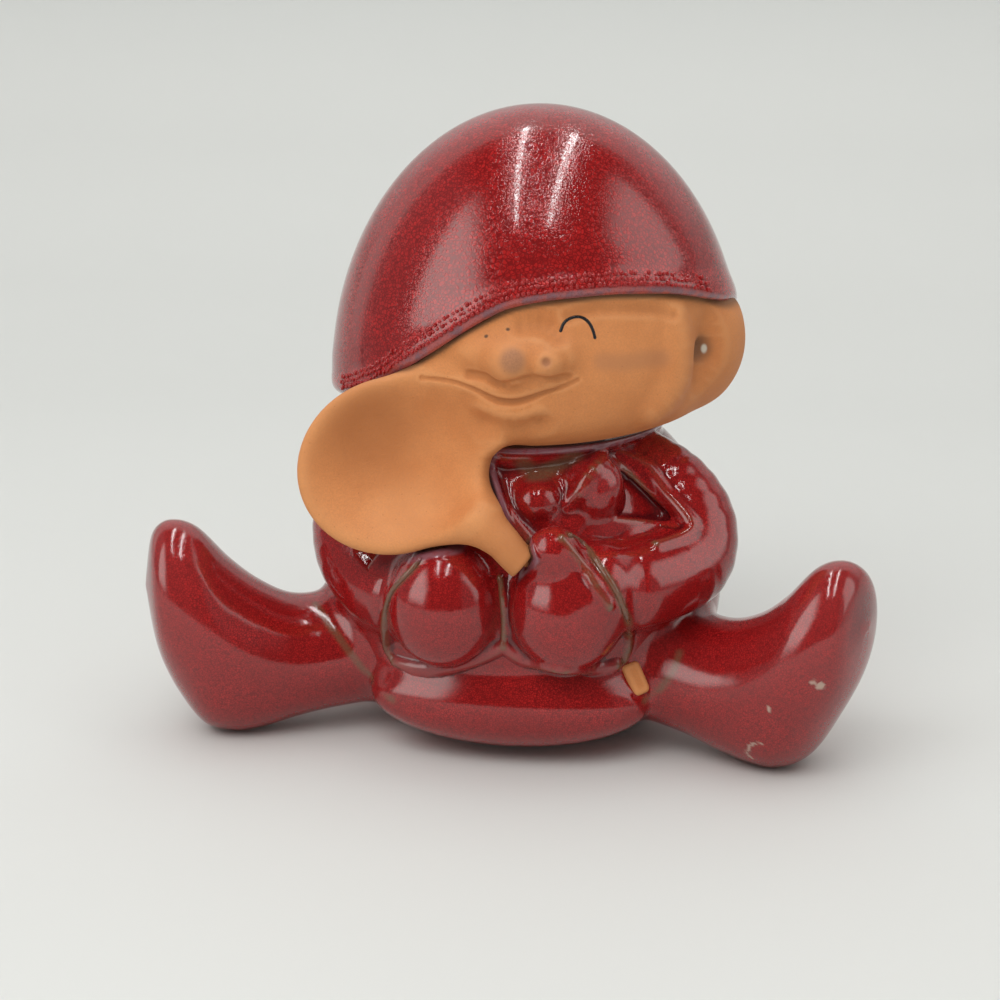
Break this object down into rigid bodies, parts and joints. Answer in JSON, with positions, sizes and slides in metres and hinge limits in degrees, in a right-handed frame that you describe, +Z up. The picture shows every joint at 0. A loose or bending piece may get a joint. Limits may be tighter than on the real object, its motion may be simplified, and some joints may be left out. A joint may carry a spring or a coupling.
{
  "type": "ceramic gnome figurine",
  "caption": "Sitting gnome in red glazed hood and suit with a bare clay face, mittens round the handle of a big clay spoon, boots turned up; stands on a flat base.",
  "frame": {"origin": "middle of the torso's flat underside, on the surface that the figurine stands on", "axes": "+Z up, the face looks along -Y, +X to the gnome's left, which is the viewer's right"},
  "size_m": [0.1733, 0.1001, 0.1491],
  "materials": {
    "torso_glaze": "glossy deep red crackle glaze, brown where it runs thin in the creases",
    "face_clay": "bare matt terracotta with one painted black eye",
    "hood_glaze": "glossy red crackle glaze, pinkish and beaded along the rim",
    "spoon_clay": "bare matt terracotta, lighter at the rim",
    "collar_glaze": "glossy deep red crackle glaze",
    "mitten_glaze": "glossy deep red crackle glaze, brown at the cuff",
    "sleeve_glaze": "glossy deep red crackle glaze",
    "boot_glaze": "glossy red crackle glaze, milky toward the toe, a few chips and scratches"
  },
  "bodies": {
    "root": {"torso": "torso_glaze", "head": "face_clay", "hood": "hood_glaze", "spoon": "spoon_clay", "collar": "collar_glaze", "hand_right": "mitten_glaze", "hand_left": "mitten_glaze", "arm_right": "sleeve_glaze", "arm_left": "sleeve_glaze", "leg_right": "boot_glaze", "leg_left": "boot_glaze"}
  },
  "joints": []
}
